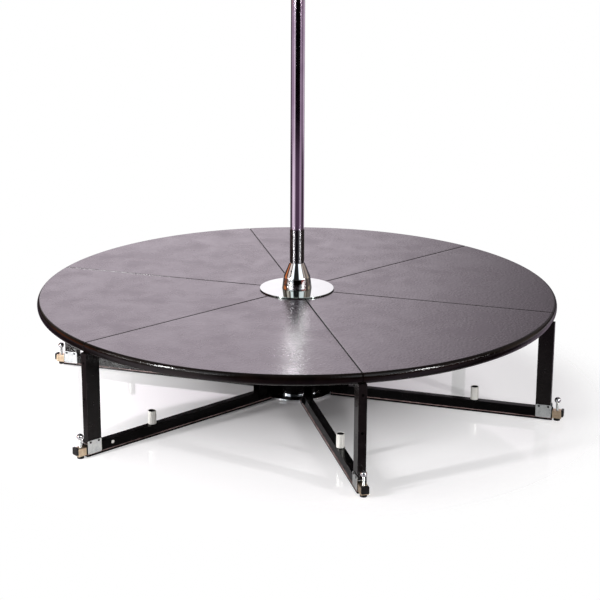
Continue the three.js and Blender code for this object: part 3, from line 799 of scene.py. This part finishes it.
def blockShapes(size):
    half = size.width / 2
    body = boxShape((size.start, size.end), (-half, half), (size.bottom, size.top))
    bore = placed(barShape(size.bore[1], size.top + overshoot), shift(size.bore[0], 0, 0))
    block = softened(carved(body, [bore]), size.edge)
    inner = size.tongueWidth / 2
    tongue = softened(boxShape(
        (size.start - size.tongue, size.start + overlap), (-inner, inner),
        (size.bottom + size.tongueGap, size.top - size.tongueGap),
    ), size.edge)
    side = size.capWidth / 2
    bottom, top, border = size.capBottom, size.capTop, size.capBorder
    face = roundCorners(
        [(-side, bottom), (side, bottom), (side, top), (-side, top)], size.capCorner, 5, closed=True
    )
    start = size.end - size.capSunk
    cap = placed(drawnShape(face, size.capEnd - start), shift(start, 0, 0) @ alongOut)
    dish = boxShape(
        (size.capEnd - size.capDish, size.capEnd + overshoot), (-side + border, side - border),
        (bottom + border, top - border),
    )
    return block, tongue, softened(carved(cap, [dish]), size.capEdge, 3)


levellingFoot = {
    "axis": 0.8708, "padRadius": 0.0105, "padEdge": 0.0008, "padStraight": 0.005, "padTop": 0.009,
    "padFlat": 0.001,  # ring of the pad's top left flat round the screw
    "screwRadius": 0.004, "threadDepth": 0.00035, "pitch": 0.00125, "ballRadius": 0.010, "ballHeight": 0.067,
    "ballSteps": 32,
}


def footShapes(size):
    pad, screw, ball = size.padRadius, size.screwRadius, size.ballRadius
    base = roundedTurn(
        [(0, 0), (pad, 0), (pad, size.padStraight), (screw + size.padFlat, size.padTop), (0, size.padTop)],
        size.padEdge, 4, 48,
    )
    neck = size.ballHeight - math.sqrt(ball ** 2 - screw ** 2)
    level = size.padTop - overlap
    thread = [(0, level)]
    while level < neck:
        thread += [(screw, level), (screw - size.threadDepth, level + size.pitch / 2)]
        level += size.pitch
    thread += [(screw, neck + overlap / 2), (0, neck + overlap / 2)]
    rod = turnedShape(thread, 32)
    start = -math.acos(screw / ball)
    knob = [(0, neck)]
    for step in range(size.ballSteps + 1):
        angle = start + (math.pi / 2 - start) * step / size.ballSteps
        knob.append((ball * math.cos(angle), size.ballHeight + ball * math.sin(angle)))
    knob[-1] = (0, size.ballHeight + ball)
    return [placed(shape, shift(size.axis, 0, 0)) for shape in (base, rod, turnedShape(knob, 64))]


def makeLegs():
    post, weld = postShapes(named(beamPost), floorBeam["top"])
    beam = named(floorBeam)
    beamMesh = joinedMesh(
        "floorBeam", [(beamShape(beam), None), (post, None), (weld, 0), (beamRivetShape(beam), 1)],
        ["blackPaint", "postZinc", "lipHighlightPaint", "blackOxide"],
    )
    tube, rivets = uprightShapes(named(uprightSet))
    uprightMesh = joinedMesh(
        "upright", [(tube, 0)] + [(rivet, 1) for rivet in rivets], ["uprightPaintWithPaintedLight", "blackOxide"]
    )
    plates, screws = bracketShapes(named(saddleBracket))
    bracketMesh = joinedMesh(
        "saddleBracket", [(plate, 0) for plate in plates] + [(screw, 1) for screw in screws],
        ["brightZinc", "blackOxide"],
    )
    block, tongue, cap = blockShapes(named(endBlock))
    blockMesh = joinedMesh("endBlock", [(block, 0), (tongue, 0), (cap, 1)], ["yellowZinc", "capMoulding"])
    base, rod, knob = footShapes(named(levellingFoot))
    footMesh = joinedMesh(
        "levellingFoot", [(base, 0), (rod, 1), (knob, 2)], ["capMoulding", "brightZinc", "mirrorChrome"]
    )
    for leg in range(legCount):
        number, turn = leg + 1, legAngle(leg)
        addPiece(f"floorBeam_{number}", beamMesh, "stage", f"floor_beam_{number}", turn)
        addPiece(f"upright_{number}_tube", uprightMesh, "stage", f"upright_{number}", turn)
        addPiece(f"saddleBracket_{number}", bracketMesh, "stage", f"saddle_bracket_{number}", turn)
        addPiece(f"endBlock_{number}", blockMesh, "stage", f"end_block_{number}", turn)
        addPiece(
            f"levellingFoot_{number}", footMesh, f"levelling_foot_{number}",
            f"levelling_foot_{number}", turn,
        )


makeLegs()
print("legs made")


# hub

hubSet = {
    "discRadius": 0.119, "discTop": 0.009, "discEdge": 0.002,
    "drumRadius": 0.080, "drumWall": 0.004, "drumBottom": 0.0093, "drumTop": 0.3124, "drumEdge": 0.0008,
    "sides": 128,
}


def tubeShape(outer, inner, low, high, edge, sides):
    return roundedTurn([(outer, low), (outer, high), (inner, high), (inner, low)], edge, 3, sides, closed=True)


def makeHub(size):
    rim, top, drum = size.discRadius, size.discTop, size.drumRadius
    disc = roundedTurn([(0, 0), (rim, 0), (rim, top), (0, top)], size.discEdge, 5, size.sides)
    addOne("hubFootDisc", disc, "mirrorChrome", "stage", "hub_foot_disc")
    wall = tubeShape(drum, drum - size.drumWall, size.drumBottom, size.drumTop, size.drumEdge, size.sides)
    addOne("hubDrum", wall, "mirrorChrome", "stage", "hub_drum")


makeHub(named(hubSet))
print("hub made")


# foot of the pole

footSides = 160
stageDisc = {"radius": 0.1225, "bottom": 0.3553, "top": 0.3595, "edge": 0.0012}
baseHousing = {
    "bottom": 0.3598, "top": 0.3966, "footRadius": 0.0490, "waistRadius": 0.0469, "waistHeight": 0.017,
    "topRadius": 0.0442, "lipRadius": 0.023, "lip": 0.003, "bore": 0.0313, "edge": 0.0007,
    "lockAngles": (210, 30), "lockHeight": 0.3767, "lockHole": 0.0033, "holeSpan": (0.030, 0.055),
    "lockScrew": (0.0243, 0.0443), "lockRadius": 0.003, "lockSocket": 0.0018,
}
poleCollar = {
    "bottom": 0.3970, "shoulderHeight": 0.005, "top": 0.4462, "topRadius": 0.0246, "shoulderRadius": 0.0428,
    "spindleBottom": 0.3601, "spindleRadius": 0.020, "hole": 0.0228, "floor": 0.4142, "edge": 0.0007,
    "screwAngle": -135, "screwHeight": 0.4222, "screwHole": 0.0028, "holeSpan": (0.020, 0.045),
    "screw": (0.0228, 0.03295), "screwRadius": 0.0025, "screwSocket": 0.0016,
}
screwEnd = {"edge": 0.0004, "socketDepth": 0.003}


def outward(start, level, angle):
    # from up the pole's axis to straight out from it
    return spun(angle) @ shift(start, 0, level) @ alongOut


def radialBar(radius, span, level, angle):
    return placed(barShape(radius, span[1] - span[0], 24), outward(span[0], level, angle))


def socketScrew(radius, span, level, angle, socket):
    # headless screw with a hexagon socket in its outer end
    length, depth = span[1] - span[0], screwEnd["socketDepth"]
    rod = roundedTurn([(0, 0), (radius, 0), (radius, length), (0, length)], screwEnd["edge"], 3, 32)
    drive = placed(barShape(socket, 2 * depth, 6), shift(0, 0, length - depth))
    return placed(carved(rod, [drive]), outward(span[0], level, angle))


def makePoleFoot():
    disc, base, cone = named(stageDisc), named(baseHousing), named(poleCollar)
    plate = roundedTurn(
        [(0, disc.bottom), (disc.radius, disc.bottom), (disc.radius, disc.top), (0, disc.top)],
        disc.edge, 5, footSides,
    )
    addOne("stageDisc", plate, "discSteel", "stage", "stage_disc")

    underLip = base.top - base.lip
    shell = roundedTurn([
        (base.footRadius, base.bottom), (base.waistRadius, base.bottom + base.waistHeight),
        (base.topRadius, base.top), (base.lipRadius, base.top), (base.lipRadius, underLip),
        (base.bore, underLip), (base.bore, base.bottom),
    ], base.edge, 4, footSides, closed=True)
    holes = [radialBar(base.lockHole, base.holeSpan, base.lockHeight, angle) for angle in base.lockAngles]
    addOne("baseHousing", carved(shell, holes), "mirrorChrome", "stage", "base_housing")

    body = roundedTurn([
        (0, cone.spindleBottom), (cone.spindleRadius, cone.spindleBottom), (cone.spindleRadius, cone.bottom),
        (base.topRadius, cone.bottom), (cone.shoulderRadius, cone.bottom + cone.shoulderHeight),
        (cone.topRadius, cone.top), (cone.hole, cone.top), (cone.hole, cone.floor), (0, cone.floor),
    ], cone.edge, 4, footSides)
    hole = radialBar(cone.screwHole, cone.holeSpan, cone.screwHeight, cone.screwAngle)
    addOne("poleCollar", carved(body, [hole]), "mirrorChrome", "pole", "pole_collar")
    for number, angle in enumerate(base.lockAngles, 1):
        screw = socketScrew(base.lockRadius, base.lockScrew, base.lockHeight, angle, base.lockSocket)
        node = f"spin_lock_screw_{number}"  # its body has the same name
        addOne(f"lockScrew_{number}", screw, "blackOxide", node, node)
    screw = socketScrew(cone.screwRadius, cone.screw, cone.screwHeight, cone.screwAngle, cone.screwSocket)
    addOne("collarScrew", screw, "blackOxide", "pole", "collar_screw")


makePoleFoot()
print("foot of the pole made")


# pole

poleSet = {
    "radius": 0.0225, "wall": 0.0016, "sides": 96, "edge": 0.0004,
    "sleeveWall": 0.00095, "sleeveGap": 0.0003,
    "capCrown": 0.001, "capSpigot": 0.025, "capGap": 0.0003,
}


def makePole(size):
    bore, sleeveBore = size.radius - size.wall, size.radius + size.sleeveGap
    for name, node, outer, inner, material, slot in (
        ("poleLower", "pole_section_lower", size.radius, bore, "poleChrome", "pole_chrome"),
        ("poleUpper", "pole_section_upper", size.radius, bore, "poleChrome", "pole_chrome"),
        ("poleSleeve", "pole_sleeve", sleeveBore + size.sleeveWall, sleeveBore, "sleeveWithPaintedReflection", "black_sleeve"),
    ):
        low, high = (corner.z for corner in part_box(node))
        addOne(name, tubeShape(outer, inner, low, high, size.edge, size.sides), material, "pole", node)
    low, high = (corner.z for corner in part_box("pole_cap"))
    spigot, plate = bore - size.capGap, low + size.capSpigot + size.capGap
    cap = roundedTurn(
        [(0, low), (spigot, low), (spigot, plate), (size.radius, plate), (size.radius, high), (0, high)],
        size.capCrown, 4, size.sides,
    )
    addOne("poleCap", cap, "mirrorChrome", "pole", "pole_cap")


makePole(named(poleSet))
print("pole made")


# CAD pieces that stay

keptFinishes = {
    "deck_bearer": "blackPaint",
    "hub_clevis_ring": "blackPaint",
    "hub_channel_ring": "blackPaint",
    "hub_top_plate": "plainSteel",
    "lower_bearing": "plainSteel",
    "upper_bearing": "plainSteel",
    "pole_joint": "plainSteel",
}
for name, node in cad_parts.items():
    for start, material in keptFinishes.items():
        if name.startswith(start):
            node.data.materials.clear()
            node.data.materials.append(finishes[material])
print("CAD pieces finished")


# studio

floorSet = {
    "size": 40,
    "drop": 0.0005,  # just under the feet, so that the two don't flicker
    "color": (0.86, 0.835, 0.85),  # seen by the camera, in the lamps' light
    "bounce": (0.80, 0.78, 0.79),  # seen by every other ray
    "glowAndPaintedShade": (0.0, 0.43),  # glow seen by the camera, none at the hub and full away from it: painted shade on the floor under the stage
    # distance from the pole over which the painted shade gives way to the full glow
    "paintedShadeSpan": (0.24, 0.68),
    "roughness": 0.07,
    "fade": (0.80, 1.15),  # metres from the pole over which the floor turns white
}
tints = {
    "day": (0.91, 0.965, 1.0),
    "cream": (1.0, 0.86, 0.78),
    "sand": (1.0, 0.79, 0.62),
    "rust": (1.0, 0.27, 0.085),
    "brick": (1.0, 0.35, 0.30),
    "blush": (1.0, 0.90, 0.985),
    "lilac": (1.0, 0.80, 1.0),
    "violet": (1.0, 0.62, 1.0),
}
studio = {
    "diffuse": 0.21,
    "ceiling": (0.16, 0.155, 0.16),  # what glossy faces see above the walls
    # sines of the heights between one ring of light and the next
    "wallTop": (0.50, 0.75),
    "steps": ((0.15, 0.20), (-0.10, -0.06), (-0.205, -0.17)),
    # glossy surroundings from the top ring down, as plain fields of light that turn softly into the
    # next one: first and last degree from +X, strength, tint; the first field lies behind the camera
    "start": 250,
    "rings": (
        (
            (231, 272, 0.02, "day"), (283, 314, 1.40, "day"), (321, 323, 0.25, "cream"), (335, 337, 0.50, "cream"),
            (346, 348, 0.10, "sand"), (354, 22, 0.30, "cream"), (50, 65, 0.30, "blush"), (79, 88, 2.0, "blush"),
            (103, 135, 0.25, "cream"), (161, 163, 0.04, "rust"), (168, 184, 0.80, "cream"),
            (191, 203, 0.25, "cream"), (208, 224, 1.50, "day"),
        ),
        (
            (232, 292, 0.0, "day"), (300, 331, 0.27, "brick"), (337, 349, 0.03, "cream"), (355, 14, 0.43, "sand"),
            (24, 60, 0.08, "blush"), (75, 92, 0.70, "blush"), (103, 130, 0.04, "sand"), (136, 162, 0.68, "rust"),
            (170, 172, 0.08, "brick"), (183, 190, 0.32, "cream"), (203, 217, 0.75, "day"),
        ),
        (
            (224, 297, 0.0, "lilac"), (305, 315, 0.52, "lilac"), (323, 352, 0.27, "lilac"), (13, 30, 0.78, "blush"),
            (55, 62, 0.12, "lilac"), (83, 85, 0.30, "lilac"), (101, 138, 0.11, "lilac"), (152, 190, 0.45, "lilac"),
            (204, 213, 0.85, "blush"),
        ),
        (
            (236, 284, 0.10, "violet"), (305, 315, 0.48, "lilac"), (346, 4, 0.03, "violet"), (24, 40, 0.45, "lilac"),
            (58, 62, 0.08, "lilac"), (81, 83, 0.30, "lilac"), (96, 148, 0.04, "violet"), (186, 202, 1.05, "blush"),
        ),
    ),
}
lamps = {
    "leftStrip": {
        "azimuth": 212, "distance": 4, "height": 1.25, "size": (1.0, 0.7), "power": 14, "aim": 0.2, "glossy": False
    },
    "leftCard": {
        "azimuth": 182, "distance": 3, "height": 0.6, "size": (1.6, 0.9), "power": 34, "aim": 0.2, "glossy": False
    },
    "rightStrip": {
        "azimuth": 318, "distance": 4, "height": 2.2, "size": (1.9, 1.8), "power": 4, "glossy": False
    },
    "overhead": {"azimuth": 130, "distance": 1.8, "height": 2.8, "size": (2.2, 2.2), "power": 38, "glossy": False},
    "leftLine": {"azimuth": 206, "distance": 4, "height": 1.5, "size": (0.24, 1.0), "power": 110},
    "rightLine": {"azimuth": 308, "distance": 4, "height": 1.5, "size": (0.13, 1.0), "power": 56},
    # long low lights, seen as the line along the rim
    "leftRim": {"azimuth": 203, "distance": 4, "height": 1.12, "size": (3.8, 0.07), "power": 19, "aim": 0.35},
    "rightRim": {"azimuth": 313, "distance": 4, "height": 1.12, "size": (3.2, 0.06), "power": 12, "aim": 0.35},
    # thin lights before the pole, seen only as the streak in the deck
    "streak": {
        "azimuth": 240, "distance": 0.036, "height": 0.80, "size": (0.05, 0.60), "power": 0.36, "toward": 258
    },
    "streakFoot": {
        "azimuth": 290, "distance": 0.040, "height": 0.47, "size": (0.03, 0.12), "power": 0.02, "toward": 258
    },
}


def blended(tree, share, below, above):
    # below turns into above as share goes from 0 to 1
    mixed = addNode(tree, "MixShader")
    for index, source in enumerate((share, below, above)):
        tree.links.new(source, mixed.inputs[index])
    return mixed.outputs[0]


def makeFloor(values):
    mesh = bpy.data.meshes.new("studioFloor")
    half = values["size"] / 2
    mesh.from_pydata([(-half, -half, 0), (half, -half, 0), (half, half, 0), (-half, half, 0)], [], [(0, 1, 2, 3)])
    floor = bpy.data.objects.new("studioFloor", mesh)
    floor.location.z = -values["drop"]
    scene.collection.objects.link(floor)
    material = bpy.data.materials.new("floorPaper")
    material.use_nodes = True
    tree = material.node_tree
    shader = tree.nodes["Principled BSDF"]
    setInputs(shader, {"Roughness": values["roughness"], "Emission Color": (1, 1, 1, 1)})
    path = addNode(tree, "LightPath")
    tone = addNode(tree, "Mix", {6: (*values["bounce"], 1), 7: (*values["color"], 1)}, data_type="RGBA")
    join(path, "Is Camera Ray", tone, 0)
    join(tone, 2, shader, "Base Color")
    geometry = addNode(tree, "NewGeometry")
    flat = addNode(tree, "VectorMath", operation="LENGTH")
    join(geometry, "Position", flat, 0)
    # camera-only glow that is none at the hub and rises outwards: painted shade on the floor under the stage
    glowAndPaintedShade = addNode(tree, "MapRange", {
        "From Min": values["paintedShadeSpan"][0], "From Max": values["paintedShadeSpan"][1],
        "To Min": values["glowAndPaintedShade"][0], "To Max": values["glowAndPaintedShade"][1],
    })
    join(flat, "Value", glowAndPaintedShade, "Value")
    seen = addNode(tree, "Math", operation="MULTIPLY")
    join(path, "Is Camera Ray", seen, 0)
    join(glowAndPaintedShade, "Result", seen, 1)
    join(seen, "Value", shader, "Emission Strength")
    fade = within(tree, *values["fade"], interpolation_type="SMOOTHSTEP")
    join(flat, "Value", fade, "Value")
    clear = addNode(tree, "BsdfTransparent")
    faded = blended(tree, fade.outputs["Result"], shader.outputs[0], clear.outputs[0])
    tree.links.new(faded, tree.nodes["Material Output"].inputs["Surface"])
    mesh.materials.append(material)


def ringRamp(tree, turn, start, fields):
    # light by direction round the pole, at half strength so that it fits a colour ramp
    ramp = addNode(tree, "ValToRGB")
    tree.links.new(turn, ramp.inputs[0])
    ramp.color_ramp.interpolation = "EASE"
    stops = ramp.color_ramp.elements
    for first, last, strength, tint in reversed(fields):
        color = (*(strength / 2 * channel for channel in tints[tint]), 1)
        for degrees in (first, last):
            stops.new((degrees - start) % 360 / 360).color = color
    for end in (0, len(stops) - 1):  # the first field runs over both ends of the ramp
        stops[end].color = color
    return ramp.outputs["Color"]


def stepped(tree, value, span, below, above):
    # below turns into above while value passes through span
    share = within(tree, *span, interpolation_type="SMOOTHSTEP")
    mixed = addNode(tree, "Mix", data_type="RGBA")
    tree.links.new(value, share.inputs["Value"])
    tree.links.new(share.outputs["Result"], mixed.inputs[0])
    for socket, color in ((mixed.inputs[6], below), (mixed.inputs[7], above)):
        if isinstance(color, tuple):
            socket.default_value = (*(channel / 2 for channel in color), 1)
        else:
            tree.links.new(color, socket)
    return mixed.outputs[2]


def makeWorld(values):
    world = bpy.data.worlds.new("studio")
    scene.world = world
    world.use_nodes = True
    tree = world.node_tree
    tree.nodes.clear()
    out = addNode(tree, "OutputWorld")
    path = addNode(tree, "LightPath")
    direction = addNode(tree, "TexCoord")
    parts = addNode(tree, "SeparateXYZ")
    angle = addNode(tree, "Math", operation="ARCTAN2")
    share = addNode(tree, "Math", {1: 1 / (2 * math.pi), 2: -values["start"] / 360}, operation="MULTIPLY_ADD")
    turn = addNode(tree, "Math", {1: 1.0, 2: 0.0}, operation="WRAP")
    join(direction, "Generated", parts, 0)
    join(parts, "Y", angle, 0)
    join(parts, "X", angle, 1)
    join(angle, 0, share, 0)
    join(share, 0, turn, 0)
    seen = values["ceiling"]
    for span, fields in zip((values["wallTop"], *values["steps"]), values["rings"]):
        ring = ringRamp(tree, turn.outputs[0], values["start"], fields)
        seen = stepped(tree, parts.outputs["Z"], span, ring, seen)
    glossy = addNode(tree, "Background", {"Strength": 2})
    tree.links.new(seen, glossy.inputs["Color"])
    soft = addNode(tree, "Background", {"Color": (1, 1, 1, 1), "Strength": values["diffuse"]})
    white = addNode(tree, "Background", {"Color": (1, 1, 1, 1), "Strength": 1})
    unseen = blended(tree, path.outputs["Is Glossy Ray"], soft.outputs[0], glossy.outputs[0])
    shown = blended(tree, path.outputs["Is Camera Ray"], unseen, white.outputs[0])
    tree.links.new(shown, out.inputs["Surface"])


def makeLamp(name, values):
    data = bpy.data.lights.new(name, "AREA")
    data.shape = "RECTANGLE"
    data.size, data.size_y = values["size"]
    data.energy = values["power"]
    lamp = bpy.data.objects.new(name, data)
    scene.collection.objects.link(lamp)
    angle = math.radians(values["azimuth"])
    lamp.location = (values["distance"] * math.cos(angle), values["distance"] * math.sin(angle), values["height"])
    target = Vector((0, 0, values.get("aim", 0.4)))
    if "toward" in values:
        heading = math.radians(values["toward"])
        target = lamp.location + Vector((math.cos(heading), math.sin(heading), 0))
    lamp.rotation_euler = (target - lamp.location).to_track_quat("-Z", "Y").to_euler()
    lamp.visible_camera = False
    lamp.visible_glossy = values.get("glossy", True)


makeFloor(floorSet)
makeWorld(studio)
for lampName, lampValues in lamps.items():
    makeLamp(lampName, lampValues)
print("studio made")
